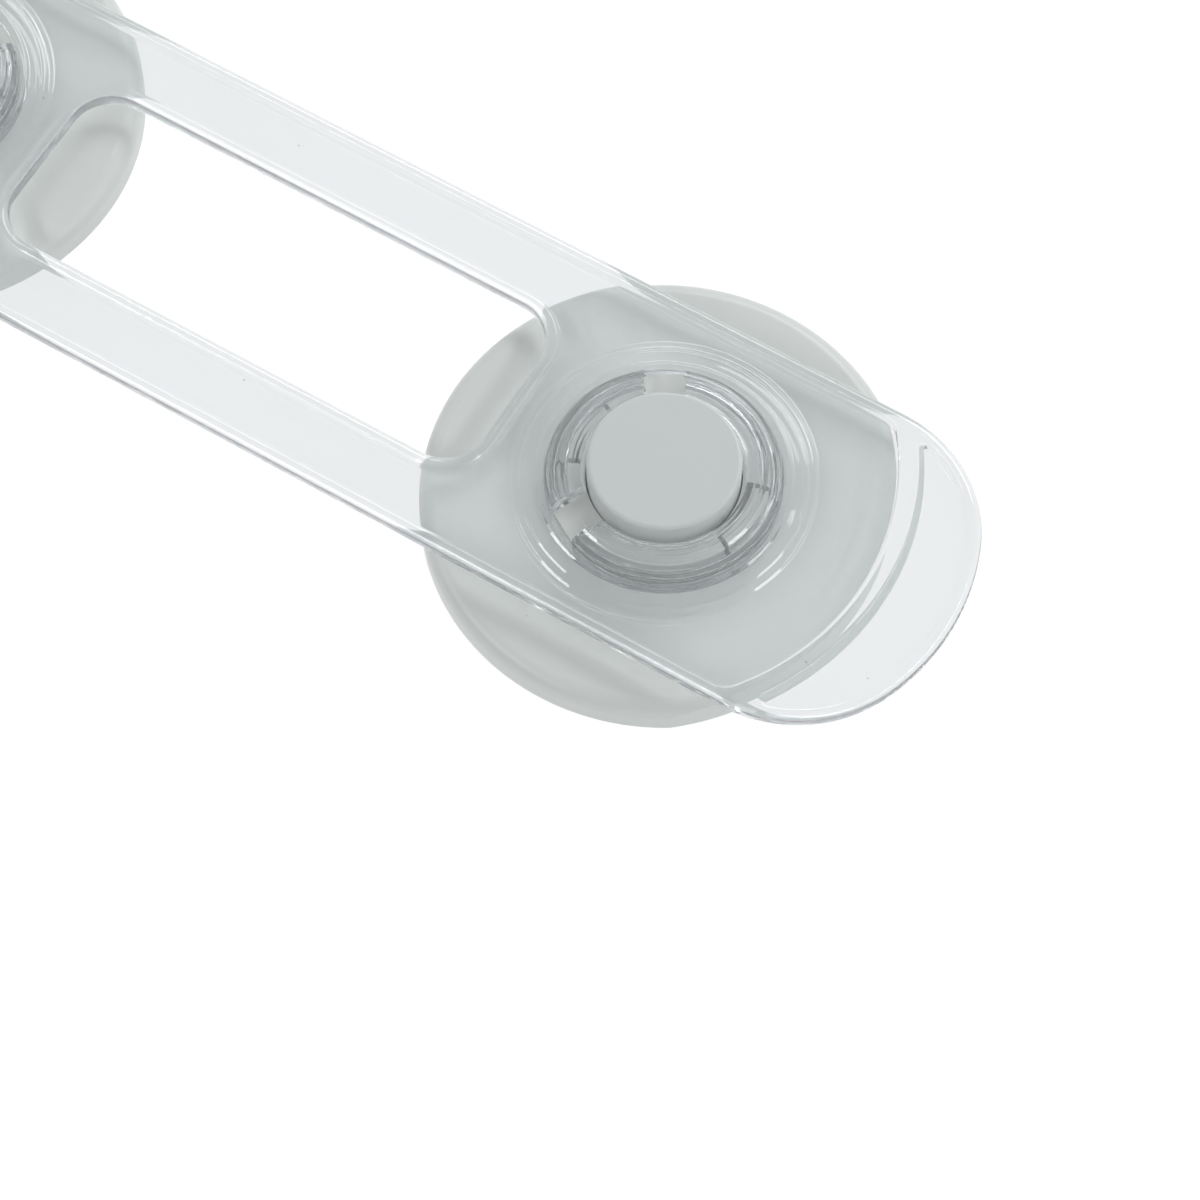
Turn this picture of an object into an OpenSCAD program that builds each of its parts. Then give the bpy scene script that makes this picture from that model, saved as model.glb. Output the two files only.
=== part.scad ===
// Cabinet safety lock: a clear strap that clips over a push-button catch at each end.
// Each catch stands on a round base that is stuck down with a foam pad.
// The strap lies along X, +Z points away from the cabinet, and the pads lie on z = 0.

/* [Strap] */
// Distance between the axes of the two catches
hub_spacing = 92.8; // [84:0.1:120]
// Width of the strap
strap_w = 37.4; // [36.4:0.1:42]
// Distance from the axis of a catch to the end of its finger tab
tab_reach = 32.9; // [31.5:0.1:38]
// Radius of the end of the finger tab
tab_end_r = 25; // [23:0.1:30]
// Radius of the corners of the finger tab
tab_corner_r = 14.9; // [10:0.1:17]
// Thickness of the thin web between the rims
web_t = 1.2; // [1:0.05:1.5]
// Width of the rim round the edge and round the slot
rim_w = 1.5; // [1.2:0.05:1.8]
// Full height of the rim, measured from the underside of the strap
rim_h = 2.0; // [1.8:0.05:2.6]
// Rounding of the edges of the rim
rim_round = 0.4; // [0.2:0.05:0.5]
// Width of the long slot
slot_w = 19.8; // [14:0.1:21]
// Radius of the corners of the slot
slot_corner_r = 4.5; // [2.5:0.1:6]
// Web left between the raised hub and the rim at the end of the slot
slot_margin = 0.7; // [0.3:0.05:4]

/* [Strap hub] */
// Height of the collar above the web
collar_rise = 2.45; // [2.2:0.05:3]
// Radius that rounds the outer edge of the collar
collar_round = 1.1; // [0.6:0.05:1.2]
// Thickness of the roof of the collar
collar_roof_t = 1.5; // [1.3:0.05:1.7]
// Thickness of the skirt that hangs from the collar
skirt_wall = 0.95; // [0.8:0.05:1.2]
// Gap between the button and the mouth of the collar
mouth_gap = 0.6; // [0.4:0.05:0.9]
// Bevel at the mouth of the collar
mouth_bevel = 0.25; // [0.1:0.05:0.4]
// Width of the flat ring round the foot of the collar
platform_w = 1.05; // [0.8:0.05:1.5]
// Height of that ring above the web
platform_rise = 0.9; // [0.6:0.05:1.1]
// Width of the shallow cone outside that ring
cone_w = 1.65; // [1:0.05:2]
// Height of the flat shoulder at the foot of the cone above the web
shoulder_rise = 0.45; // [0.3:0.05:0.6]
// Width of that shoulder
shoulder_w = 1.1; // [0.8:0.05:1.4]
// Width of the slope at the outer edge of the shoulder
shoulder_slope_w = 0.3; // [0.1:0.05:0.6]
// Width of each of the two notches in the collar
notch_w = 4.2; // [3:0.1:5]
// Angle between the finger tab and each notch
notch_angle = 120; // [110:1:130]
// Thickness of the lip inside the skirt
lip_t = 0.6; // [0.5:0.05:0.7]
// Lead-in bevel below the lip
lip_bevel = 0.35; // [0.2:0.05:0.5]

/* [Grip ridge] */
// Web left between the raised hub and the ridge
ridge_gap = 7.3; // [6.5:0.1:8]
// Radius of the inner face of the ridge
ridge_in_r = 27.2; // [25.5:0.1:34]
// Width of the ridge
ridge_w = 2.75; // [2:0.05:3.2]
// Rounding of the outer edge of the ridge
ridge_round = 0.7; // [0.3:0.05:0.75]
// Radius of the corners where the ridge meets the rim
ridge_corner_r = 2.5; // [1:0.1:4]

/* [Base] */
// Diameter of the round base
base_d = 49.5; // [48:0.1:56]
// Height of the base above the foam pad
base_h = 3.6; // [3.4:0.05:4.2]
// Rounding of the top edge of the base
base_round = 1.7; // [0.8:0.1:2]
// Rounding of the top edge where the base is cut back under the ridge
base_cut_round = 0.4; // [0.2:0.05:0.8]
// Thickness of the top of the base shell
base_top_t = 1.4; // [1.2:0.05:1.5]
// Thickness of the edge that surrounds the back plate
base_edge_t = 1.0; // [0.8:0.05:1.3]
// Width of the ledge that the back plate rests on
ledge_w = 1.0; // [0.6:0.05:1.4]
// Thickness of the back plate
plate_t = 1.2; // [1:0.05:1.4]
// Number of pegs that hold the back plate
peg_count = 4; // [3:1:6]
// Diameter of a peg
peg_d = 2.0; // [1.6:0.1:2.4]
// Wall of the boss that a peg enters
peg_boss_wall = 1.1; // [0.8:0.1:1.4]
// Distance of the pegs from the axis of the catch
peg_place_r = 16.0; // [14.5:0.1:17]
// Gap between the top of the base and the underside of the strap
strap_lift = 1.25; // [1.1:0.05:1.6]

/* [Catch] */
// Wall of the round tower that the strap clips over
tower_wall = 1.0; // [0.8:0.05:1.2]
// Thickness of the roof of the tower
tower_roof_t = 1.1; // [0.9:0.05:1.2]
// Bevel round the top of the tower
tower_bevel = 0.3; // [0.1:0.05:0.4]
// How far each hook reaches over the lip of the strap
hook_bite = 0.4; // [0.3:0.05:0.5]
// Height of the full-width part of a hook
hook_land = 0.3; // [0.2:0.05:0.4]
// Height of the slope above a hook
hook_slope_h = 0.75; // [0.6:0.05:0.8]
// Half of the angle that a sprung tongue covers
tongue_half_angle = 22; // [16:1:30]
// Width of the slots that free a tongue
tongue_slot_w = 0.5; // [0.4:0.05:0.8]

/* [Button] */
// Diameter of the push button
button_d = 15.6; // [15:0.1:16.4]
// Height of the button above the collar
button_rise = 1.6; // [1.2:0.05:2]
// Rounding of the top edge of the button
button_round = 0.4; // [0.2:0.05:0.6]
// Thickness of the top of the button
button_cap_t = 1.2; // [1:0.05:1.5]
// Wall of the button
button_wall = 1.2; // [1:0.05:1.4]
// Width of the flange that keeps the button in and backs the tongues
flange_w = 1.1; // [0.9:0.05:1.3]
// Thickness of the flange
flange_t = 1.1; // [0.9:0.05:1.1]
// How far the button travels before it meets the stop ring on the back plate
button_travel = 1.9; // [1.5:0.05:2]
// Wall of the stop ring
stop_wall = 1.2; // [0.8:0.05:1.4]

/* [Return spring] */
// Diameter of the spring wire
wire_d = 0.7; // [0.5:0.05:0.8]
// Mean radius of the coils
coil_r = 5.2; // [4.8:0.05:5.4]
// Number of coils between the closed end coils
free_coils = 3.5; // [2.5:0.5:3.5]

/* [Adhesive pad] */
// Thickness of the foam pad
pad_t = 1.0; // [0.8:0.05:1.2]
// How far the pad stays inside the edge of the base
pad_inset = 1.2; // [0.6:0.1:3]

/* [Fits] */
// Radial gap of a sliding fit
running_gap = 0.1; // [0.05:0.01:0.1]
// Gap between two faces that meet
face_gap = 0.05; // [0.02:0.01:0.1]
// Gap between the strap and the catch where they don't touch
free_gap = 0.3; // [0.2:0.05:0.35]
// Gap between the skirt of the collar and the top of the base
seat_gap = 0.15; // [0.1:0.05:0.3]
// Gap between the lip of the strap and the hooks
catch_gap = 0.1; // [0.05:0.01:0.15]
// Gap between a hook and the inside of the collar
hook_gap = 0.25; // [0.2:0.05:0.3]
// Gap on each side of a key in its notch
key_gap = 0.2; // [0.1:0.05:0.3]
// Gap round the back plate
plate_gap = 0.1; // [0.05:0.01:0.2]
// Gap between the spring and the spigots that centre it
spigot_gap = 0.25; // [0.15:0.05:0.35]

/* [Hidden] */
$fn = 120;
LEFT = -1;
RIGHT = 1;
half_turn = 180;
full_turn = 360;

// How far a cut runs past what it cuts, and how far joined shapes sink into each other
cut = 1;
sink = 0.3;

// Heights, from the cabinet upwards
base_bottom = pad_t;
plate_top = base_bottom + plate_t;
base_top = base_bottom + base_h;
strap_bottom = base_top + strap_lift;
web_top = strap_bottom + web_t;
rim_top = strap_bottom + rim_h;
platform_top = web_top + platform_rise;
collar_top = web_top + collar_rise;
collar_ceiling = collar_top - collar_roof_t;
tower_top = collar_ceiling - free_gap;
tower_ceiling = tower_top - tower_roof_t;
flange_top = tower_ceiling - face_gap;
flange_bottom = flange_top - flange_t;
stop_top = flange_bottom - button_travel - face_gap;
button_top = collar_top + button_rise;
button_ceiling = button_top - button_cap_t;
skirt_bottom = base_top + seat_gap;
lip_top = skirt_bottom + lip_bevel + lip_t;
hook_bottom = lip_top + catch_gap;
key_top = tower_top - face_gap;

// Radii of the catch, from the button outwards
button_r = button_d / 2;
button_hollow_r = button_r - button_wall;
mouth_r = button_r + mouth_gap;
tower_mouth_r = button_r + running_gap;
flange_r = button_r + flange_w;
tower_in_r = flange_r + running_gap;
tower_r = tower_in_r + tower_wall;
lip_r = tower_r + free_gap;
hook_r = lip_r + hook_bite;
collar_in_r = hook_r + hook_gap;
collar_r = collar_in_r + skirt_wall;
platform_r = collar_r + platform_w;
shoulder_r = platform_r + cone_w;
hub_r = shoulder_r + shoulder_w;
notch_reach = collar_r + key_gap;
key_reach = collar_r - key_gap;

// Plan of the strap
strap_half_w = strap_w / 2;
hub_x = hub_spacing / 2;
tab_end_x = tab_reach - tab_end_r;
slot_l = hub_spacing - 2 * (hub_r + slot_margin + rim_w);
ridge_x = hub_r + ridge_gap - ridge_in_r;

// Plan of the base, whose tab side is cut back along the ridge
base_r = base_d / 2;
boss_r = peg_d / 2 + peg_boss_wall;

// Spring between the back plate and the roof of the button
spring_bottom = plate_top + face_gap;
spring_top = button_ceiling - face_gap;
spigot_r = coil_r - wire_d / 2 - spigot_gap;
spigot_h = 2 * wire_d;

// Colours, as the photograph shows them
clear_colour = [0.93, 0.95, 0.96, 0.45];
grey_colour = [0.80, 0.82, 0.81];
button_colour = [0.82, 0.83, 0.82];
plate_colour = [0.72, 0.74, 0.74];
foam_colour = [0.93, 0.93, 0.92];
steel_colour = [0.70, 0.72, 0.74];

// Puts its children at one end of the lock, with the finger tab pointing outwards
module at_end(side) {
    translate([side * hub_x, 0, 0])
        rotate([0, 0, side == LEFT ? half_turn : 0])
            children();
}

// Rectangle with rounded corners, centred on the origin
module rounded_plan(length, width, corner_r) {
    square([length - 2 * corner_r, width], center = true);
    square([length, width - 2 * corner_r], center = true);
    for (x = [-1, 1], y = [-1, 1])
        translate([x * (length / 2 - corner_r), y * (width / 2 - corner_r)])
            circle(r = corner_r);
}

// Where the corner arcs of a rounded end have their centres, and how far the end arc turns to each side
function corner_x(half_w, end_r, end_x, corner_r) =
    end_x + sqrt(pow(end_r - corner_r, 2) - pow(half_w - corner_r, 2));
function end_angle(half_w, end_r, corner_r) = asin((half_w - corner_r) / (end_r - corner_r));

// Strip from x = 0 to an end that is one wide arc between two corner arcs
module rounded_end(half_w, end_r, end_x, corner_r) {
    x = corner_x(half_w, end_r, end_x, corner_r);
    angle = end_angle(half_w, end_r, corner_r);
    translate([0, -half_w])
        square([x, 2 * half_w]);
    for (side = [-1, 1])
        translate([x, side * (half_w - corner_r)])
            circle(r = corner_r);
    translate([end_x, 0])
        intersection() {
            circle(r = end_r);
            polygon([
                [0, 0],
                [2 * end_r * cos(angle), -2 * end_r * sin(angle)],
                [2 * end_r * cos(angle), 2 * end_r * sin(angle)]
            ]);
        }
}

// Plan of one end of the strap, drawn back from its edge
module strap_end_plan(inset) {
    rounded_end(strap_half_w - inset, tab_end_r - inset, tab_end_x, tab_corner_r - inset);
}

module strap_plan(inset) {
    square([hub_spacing, strap_w - 2 * inset], center = true);
    for (side = [LEFT, RIGHT])
        at_end(side)
            strap_end_plan(inset);
}

// Section of the rim, with its outer face on the Y axis
module rim_section() {
    translate([-rim_w / 2, strap_bottom + rim_h / 2])
        rounded_plan(rim_w, rim_h, rim_round);
}

// Straight length of rim along X, whose outer face lies at y = 0
module rim_bar(length) {
    rotate([0, 0, half_turn / 2])
        rotate([half_turn / 2, 0, 0])
            linear_extrude(height = length, center = true)
                rim_section();
}

// Bend of rim from angle 0 to the given angle, whose outer face has the given radius
module rim_bend(outer_r, angle) {
    rotate_extrude(angle = angle)
        translate([outer_r, 0])
            rim_section();
}

module outer_rim() {
    corner_y = strap_half_w - tab_corner_r;
    x = corner_x(strap_half_w, tab_end_r, tab_end_x, tab_corner_r);
    angle = end_angle(strap_half_w, tab_end_r, tab_corner_r);
    for (turn = [0, half_turn])
        rotate([0, 0, turn])
            translate([0, strap_half_w, 0])
                rim_bar(2 * (hub_x + x));
    for (side = [LEFT, RIGHT])
        at_end(side) {
            translate([tab_end_x, 0, 0])
                rotate([0, 0, -angle])
                    rim_bend(tab_end_r, 2 * angle);
            translate([x, corner_y, 0])
                rotate([0, 0, angle])
                    rim_bend(tab_corner_r, half_turn / 2 - angle);
            translate([x, -corner_y, 0])
                rotate([0, 0, -half_turn / 2])
                    rim_bend(tab_corner_r, half_turn / 2 - angle);
        }
}

module slot_rim() {
    bend_r = slot_corner_r + rim_w;
    straight_x = slot_l / 2 - slot_corner_r;
    straight_y = slot_w / 2 - slot_corner_r;
    for (turn = [0, half_turn])
        rotate([0, 0, turn]) {
            translate([0, slot_w / 2 + rim_w, 0])
                rim_bar(2 * straight_x);
            translate([slot_l / 2 + rim_w, 0, 0])
                rotate([0, 0, -half_turn / 2])
                    rim_bar(2 * straight_y);
            translate([straight_x, straight_y, 0])
                rim_bend(bend_r, half_turn / 2);
            translate([-straight_x, straight_y, 0])
                rotate([0, 0, half_turn / 2])
                    rim_bend(bend_r, half_turn / 2);
        }
}

module web() {
    translate([0, 0, strap_bottom])
        linear_extrude(height = web_t)
            difference() {
                strap_plan(rim_w / 2);
                rounded_plan(slot_l + rim_w, slot_w + rim_w, slot_corner_r + rim_w / 2);
                for (side = [LEFT, RIGHT])
                    translate([side * hub_x, 0])
                        circle(r = hub_r);
            }
}

// Section of the raised hub: roof and skirt of the collar, platform and shoulder
module hub_section() {
    under_platform = platform_top - web_t;
    difference() {
        union() {
            polygon([
                [hub_r, web_top],
                [hub_r + sink, web_top - web_t / 2],
                [hub_r, strap_bottom],
                [shoulder_r, strap_bottom],
                [platform_r, under_platform],
                [collar_r, under_platform],
                [collar_in_r, under_platform],
                [collar_in_r, platform_top],
                [platform_r, platform_top],
                [shoulder_r, web_top + shoulder_rise],
                [hub_r - shoulder_slope_w, web_top + shoulder_rise]
            ]);
            translate([mouth_r, collar_ceiling])
                square([collar_r - collar_round - mouth_r, collar_roof_t]);
            translate([collar_in_r, collar_ceiling])
                square([skirt_wall, collar_roof_t - collar_round]);
            translate([collar_r - collar_round, collar_top - collar_round])
                intersection() {
                    circle(r = collar_round);
                    square(collar_round);
                }
            translate([collar_in_r - sink, collar_ceiling])
                square([collar_r - collar_round - collar_in_r + 2 * sink, collar_roof_t - collar_round]);
            translate([collar_in_r, skirt_bottom])
                square([skirt_wall, collar_ceiling - skirt_bottom + sink]);
            polygon([
                [collar_in_r + sink, skirt_bottom],
                [lip_r + lip_bevel, skirt_bottom],
                [lip_r, skirt_bottom + lip_bevel],
                [lip_r, lip_top],
                [collar_in_r + sink, lip_top]
            ]);
        }
        translate([mouth_r, collar_top])
            rotate(half_turn / 4)
                square(mouth_bevel * sqrt(2), center = true);
    }
}

module hub() {
    difference() {
        rotate_extrude()
            hub_section();
        for (angle = [-notch_angle, notch_angle])
            rotate([0, 0, angle])
                translate([0, -notch_w / 2, skirt_bottom - cut])
                    cube([notch_reach, notch_w, collar_top - skirt_bottom + 2 * cut]);
    }
}

// Disc with a rounded top edge
module rounded_disc(radius, bottom, top, edge_r) {
    rotate_extrude() {
        translate([0, bottom])
            square([radius - edge_r, top - bottom]);
        translate([0, bottom])
            square([radius, top - bottom - edge_r]);
        translate([radius - edge_r, top - edge_r])
            intersection() {
                circle(r = edge_r);
                square(edge_r);
            }
    }
}

module plain_disc(radius, bottom, top) {
    translate([0, 0, bottom])
        cylinder(r = radius, h = top - bottom);
}

// Arched step that stops the finger on the tab, level with the rim at both ends
module grip_ridge() {
    half_w = strap_half_w - rim_w;
    rise = rim_top - web_top;
    difference() {
        intersection() {
            translate([ridge_x, 0, 0])
                rounded_disc(ridge_in_r + ridge_w, web_top - sink, rim_top, ridge_round);
            translate([0, 0, web_top - sink])
                linear_extrude(height = rise + sink)
                    intersection() {
                        strap_end_plan(rim_w / 2);
                        translate([corner_x(half_w, ridge_in_r, ridge_x, ridge_corner_r), -strap_half_w])
                            square([tab_reach, strap_w]);
                    }
        }
        translate([0, 0, web_top - sink - cut])
            linear_extrude(height = rise + sink + 2 * cut)
                rounded_end(half_w, ridge_in_r, ridge_x, ridge_corner_r);
    }
}

module strap() {
    color(clear_colour)
        union() {
            web();
            outer_rim();
            slot_rim();
            for (side = [LEFT, RIGHT])
                at_end(side) {
                    hub();
                    grip_ridge();
                }
        }
}

// Solid with the outline of the base, drawn back from its edge
module base_slab(inset, bottom, top) {
    intersection() {
        plain_disc(base_r - inset, bottom, top);
        translate([ridge_x, 0, 0])
            plain_disc(ridge_in_r - inset, bottom, top);
    }
}

module rounded_base() {
    intersection() {
        rounded_disc(base_r, base_bottom, base_top, base_round);
        translate([ridge_x, 0, 0])
            rounded_disc(ridge_in_r, base_bottom, base_top, base_cut_round);
    }
}

module peg_places() {
    for (i = [0 : peg_count - 1])
        rotate([0, 0, (i + 1 / 2) * full_turn / peg_count])
            translate([peg_place_r, 0, 0])
                children();
}

module tower() {
    rotate_extrude()
        polygon([
            [0, base_top - sink],
            [tower_r, base_top - sink],
            [tower_r, tower_top - tower_bevel],
            [tower_r - tower_bevel, tower_top],
            [0, tower_top]
        ]);
}

// Ribs that sit in the notches of the collar and stop the strap turning
module keys() {
    key_w = notch_w - 2 * key_gap;
    for (angle = [-notch_angle, notch_angle])
        rotate([0, 0, angle])
            translate([tower_in_r + sink, -key_w / 2, base_top - sink])
                cube([key_reach - tower_in_r - sink, key_w, key_top - base_top + sink]);
}

// Hooks on the two tongues, towards the tab and away from it
module hooks() {
    for (turn = [0, half_turn])
        rotate([0, 0, turn - tongue_half_angle])
            rotate_extrude(angle = 2 * tongue_half_angle)
                polygon([
                    [tower_r - sink, hook_bottom],
                    [hook_r, hook_bottom],
                    [hook_r, hook_bottom + hook_land],
                    [tower_r - sink, hook_bottom + hook_land + hook_slope_h]
                ]);
}

// Slots that part each tongue from the rest of the tower
module tongue_slots() {
    slot_in_r = tower_in_r - tongue_slot_w;
    for (turn = [0, half_turn])
        rotate([0, 0, turn]) {
            rotate([0, 0, -tongue_half_angle])
                rotate_extrude(angle = 2 * tongue_half_angle)
                    translate([slot_in_r, tower_ceiling - sink])
                        square([tongue_slot_w + face_gap, tower_roof_t + sink + cut]);
            for (angle = [-tongue_half_angle, tongue_half_angle])
                rotate([0, 0, angle])
                    translate([slot_in_r, -tongue_slot_w / 2, base_top])
                        cube([hook_r - slot_in_r + cut, tongue_slot_w, tower_top - base_top + cut]);
        }
}

module base_shell() {
    difference() {
        union() {
            difference() {
                union() {
                    rounded_base();
                    tower();
                    keys();
                    hooks();
                }
                base_slab(base_edge_t, base_bottom - cut, plate_top);
                base_slab(base_edge_t + ledge_w, base_bottom - cut, base_top - base_top_t);
            }
            peg_places()
                translate([0, 0, plate_top])
                    cylinder(r = boss_r, h = base_top - base_top_t / 2 - plate_top);
        }
        peg_places()
            translate([0, 0, plate_top - cut])
                cylinder(r = peg_d / 2 + face_gap, h = base_top - base_top_t - plate_top + cut);
        translate([0, 0, base_bottom - cut])
            cylinder(r = tower_in_r, h = tower_ceiling - base_bottom + cut);
        translate([0, 0, tower_ceiling - cut])
            cylinder(r = tower_mouth_r, h = tower_roof_t + 2 * cut);
        tongue_slots();
    }
}

module button() {
    difference() {
        union() {
            rounded_disc(button_r, flange_bottom, button_top, button_round);
            translate([0, 0, flange_bottom])
                cylinder(r = flange_r, h = flange_t);
        }
        translate([0, 0, flange_bottom - cut])
            cylinder(r = button_hollow_r, h = button_ceiling - flange_bottom + cut);
    }
    translate([0, 0, button_ceiling - spigot_h])
        cylinder(r = spigot_r, h = spigot_h + sink);
}

// Height of the wire's centre after a number of turns: closed coils at both ends
function wire_z(turns, low, high) =
    turns < 1 ? low + turns * wire_d
    : turns > 1 + free_coils ? high - (2 + free_coils - turns) * wire_d
    : low + wire_d + (turns - 1) * (high - low - 2 * wire_d) / free_coils;

module return_spring() {
    sides = 6;
    steps = 16;
    rings = ceil((2 + free_coils) * steps);
    wire_r = wire_d / 2;
    low = spring_bottom + wire_r;
    high = spring_top - wire_r;
    points = [
        for (i = [0 : rings])
            let (turns = (2 + free_coils) * i / rings, a = full_turn * turns, z = wire_z(turns, low, high))
            for (k = [0 : sides - 1])
                let (b = full_turn * k / sides, reach = coil_r + wire_r * cos(b))
                [reach * cos(a), reach * sin(a), z + wire_r * sin(b)]
    ];
    walls = [
        for (i = [0 : rings - 1], k = [0 : sides - 1])
            let (p = i * sides + k, q = i * sides + (k + 1) % sides)
            each [[p, q, q + sides], [p, q + sides, p + sides]]
    ];
    first_end = [for (k = [1 : sides - 2]) [0, k + 1, k]];
    last = rings * sides;
    last_end = [for (k = [1 : sides - 2]) [last, last + k, last + k + 1]];
    polyhedron(points = points, faces = concat(walls, first_end, last_end), convexity = 10);
}

module back_plate() {
    base_slab(base_edge_t + plate_gap, base_bottom, plate_top - face_gap);
    translate([0, 0, plate_top - sink])
        cylinder(r = spigot_r, h = spigot_h + sink);
    translate([0, 0, plate_top - sink])
        difference() {
            cylinder(r = button_hollow_r + stop_wall, h = stop_top - plate_top + sink);
            translate([0, 0, -cut])
                cylinder(r = button_hollow_r, h = stop_top - plate_top + sink + 2 * cut);
        }
    peg_places()
        translate([0, 0, plate_top - sink])
            cylinder(r = peg_d / 2, h = base_top - base_top_t - plate_top + sink - face_gap);
}

module adhesive_pad() {
    base_slab(pad_inset, 0, base_bottom);
}

module left_base_shell() {
    color(grey_colour)
        at_end(LEFT)
            base_shell();
}

module right_base_shell() {
    color(grey_colour)
        at_end(RIGHT)
            base_shell();
}

module left_button() {
    color(button_colour)
        at_end(LEFT)
            button();
}

module right_button() {
    color(button_colour)
        at_end(RIGHT)
            button();
}

module left_return_spring() {
    color(steel_colour)
        at_end(LEFT)
            return_spring();
}

module right_return_spring() {
    color(steel_colour)
        at_end(RIGHT)
            return_spring();
}

module left_back_plate() {
    color(plate_colour)
        at_end(LEFT)
            back_plate();
}

module right_back_plate() {
    color(plate_colour)
        at_end(RIGHT)
            back_plate();
}

module left_adhesive_pad() {
    color(foam_colour)
        at_end(LEFT)
            adhesive_pad();
}

module right_adhesive_pad() {
    color(foam_colour)
        at_end(RIGHT)
            adhesive_pad();
}

strap();
left_base_shell();
left_button();
left_return_spring();
left_back_plate();
left_adhesive_pad();
right_base_shell();
right_button();
right_return_spring();
right_back_plate();
right_adhesive_pad();
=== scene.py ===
import math

import bpy
import numpy as np
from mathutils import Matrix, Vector
from mathutils.geometry import delaunay_2d_cdt


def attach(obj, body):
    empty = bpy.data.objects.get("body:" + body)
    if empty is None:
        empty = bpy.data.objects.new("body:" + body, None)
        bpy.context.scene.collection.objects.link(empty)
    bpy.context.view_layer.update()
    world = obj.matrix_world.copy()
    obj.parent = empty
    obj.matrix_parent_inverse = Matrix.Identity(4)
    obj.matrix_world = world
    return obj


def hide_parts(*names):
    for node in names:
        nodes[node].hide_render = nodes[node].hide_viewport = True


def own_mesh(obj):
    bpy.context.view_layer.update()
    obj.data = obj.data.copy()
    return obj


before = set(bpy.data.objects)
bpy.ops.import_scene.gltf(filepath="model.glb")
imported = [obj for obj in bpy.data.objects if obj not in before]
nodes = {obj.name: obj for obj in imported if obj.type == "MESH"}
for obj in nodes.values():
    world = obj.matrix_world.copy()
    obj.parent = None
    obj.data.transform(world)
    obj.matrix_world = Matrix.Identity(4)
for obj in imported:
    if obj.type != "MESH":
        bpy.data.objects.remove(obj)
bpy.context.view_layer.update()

# Sizes in millimetres, as the solids have them. EDGE_ROUND to POCKET_FILLET are the drawn strap's own
HUB_X = 46.4
STRAP_HALF_W = 18.7
TAB_END_R, TAB_END_X, TAB_CORNER_R = 25.0, 7.9, 14.9
RIDGE_R, RIDGE_X, RIDGE_W, RIDGE_CORNER_R = 27.2, -4.2, 2.75, 2.5
RIM_W, EDGE_ROUND, RIM_ROUND, RIDGE_ROUND, FOOT_ROUND = 1.5, 0.9, 0.55, 0.7, 0.15
POCKET_FILLET = 0.3
RIM_TOP, WEB_TOP, STRAP_BOTTOM = 7.85, 7.05, 5.85
SLOT_HALF_L, SLOT_HALF_W, SLOT_CORNER_R = 28.5, 9.9, 4.5
HUB_FOOT_R, HUB_UNDER_R = 16.0, 15.7
NOTCH_ANGLE, NOTCH_HALF_W, NOTCH_R = 120, 2.1, 12.1
BASE_R, PAD_T, PAD_INSET = 24.75, 1.0, 1.2
COIL_R, WIRE_D, FREE_COILS = 5.2, 0.7, 3.5
SPRING_BOTTOM, SPRING_TOP = 2.25, 9.85
STROKE = 14.0
# Longest face along an arc, along a straight and in a section, and widest turn of a face in an outline and
# in a section
ARC_STEP, STRAIGHT_STEP, SECTION_STEP = 0.6, 1.5, 0.09
ARC_TURN, SECTION_TURN = 5, 22
SECTOR_POINTS, NOTCH_POINTS, POCKET_WALL_POINTS = (120, 64), 9, 17
SAME_PLACE = 1e-6
MM = 0.001
# Metres
LAMP_AIM = Vector((0.046, 0, 0))
CAMERA_PLACE, CAMERA_AIM = Vector((0.1381, -0.1669, 0.3649)), Vector((0.0463, -0.0124, 0.0010))


# ---------- outlines and sections ----------

def arcs(pieces):
    """Closed outline of tangent arcs (x, y, radius, from, to), with the direction out of it at each point."""
    points, normals = [], []
    for x, y, r, start, end in pieces:
        turn = abs(end - start)
        steps = max(2, math.ceil(turn / ARC_TURN), math.ceil(math.radians(turn) * r / ARC_STEP))
        for a in np.radians(np.linspace(start, end, steps + 1)):
            ray = np.array([math.cos(a), math.sin(a)])
            point = np.array([x, y]) + r * ray
            if points and np.linalg.norm(points[-1] - point) < SAME_PLACE:
                continue
            points.append(point)
            normals.append(ray if end > start else -ray)
    if np.linalg.norm(points[0] - points[-1]) < SAME_PLACE:
        points.pop()
        normals.pop()
    # Straight stretches get points too, because very long thin faces spoil refraction
    finer, turned = [], []
    for k, point in enumerate(points):
        ahead, normal = points[(k + 1) % len(points)], normals[(k + 1) % len(points)]
        steps = max(1, math.ceil(np.linalg.norm(ahead - point) / STRAIGHT_STEP))
        for s in range(steps):
            finer.append(point + (ahead - point) * s / steps)
            turned.append(normals[k] + (normal - normals[k]) * s / steps)
    return np.array(finer), np.array(turned)


def rounded_end(half_w, end_r, end_x, corner_r):
    """Arcs of one end of the strap, about the axis of the catch: a wide arc between two corner arcs."""
    x = end_x + math.sqrt((end_r - corner_r) ** 2 - (half_w - corner_r) ** 2)
    y = half_w - corner_r
    turn = math.degrees(math.asin(y / (end_r - corner_r)))
    return [(x, -y, corner_r, -90, -turn), (end_x, 0, end_r, -turn, turn), (x, y, corner_r, turn, 90)]


def both_ends(end):
    """The arcs of one end at the right, and again at the left."""
    right = [(x + HUB_X, y, r, a, b) for x, y, r, a, b in end]
    left = [(-x, -y, r, a + 180, b + 180) for x, y, r, a, b in right]
    return arcs(right + left)


def slot_outline(grow):
    x, y, r = SLOT_HALF_L - SLOT_CORNER_R, SLOT_HALF_W - SLOT_CORNER_R, SLOT_CORNER_R + grow
    return arcs([(x, -y, r, -90, 0), (x, y, r, 0, 90), (-x, y, r, 90, 180), (-x, -y, r, 180, 270)])


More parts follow.
